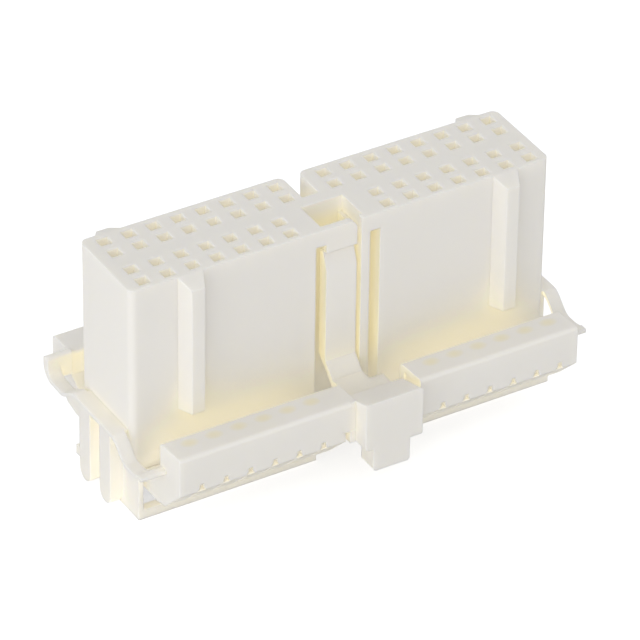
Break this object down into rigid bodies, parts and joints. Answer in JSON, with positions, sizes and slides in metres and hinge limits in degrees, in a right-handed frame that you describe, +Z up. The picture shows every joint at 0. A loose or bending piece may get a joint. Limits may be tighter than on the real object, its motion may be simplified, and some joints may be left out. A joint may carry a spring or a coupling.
{
  "type": "wire to board connector housing",
  "caption": "Moulded female housing for crimped wires, with a grid of square contact cavities, a latch arm with a thumb pad, and retainer bars on flexible straps.",
  "frame": {"origin": "middle of the footprint, on the plane of the foot rails and of the round feet on the end faces", "axes": "+Z up through the mating face, +X along the rows of contacts, +Y away from the latch arm"},
  "size_m": [0.0468, 0.0254, 0.0241],
  "materials": {
    "housing": "natural translucent nylon, fine matt"
  },
  "bodies": {
    "root": {"housing": "housing"}
  },
  "joints": []
}
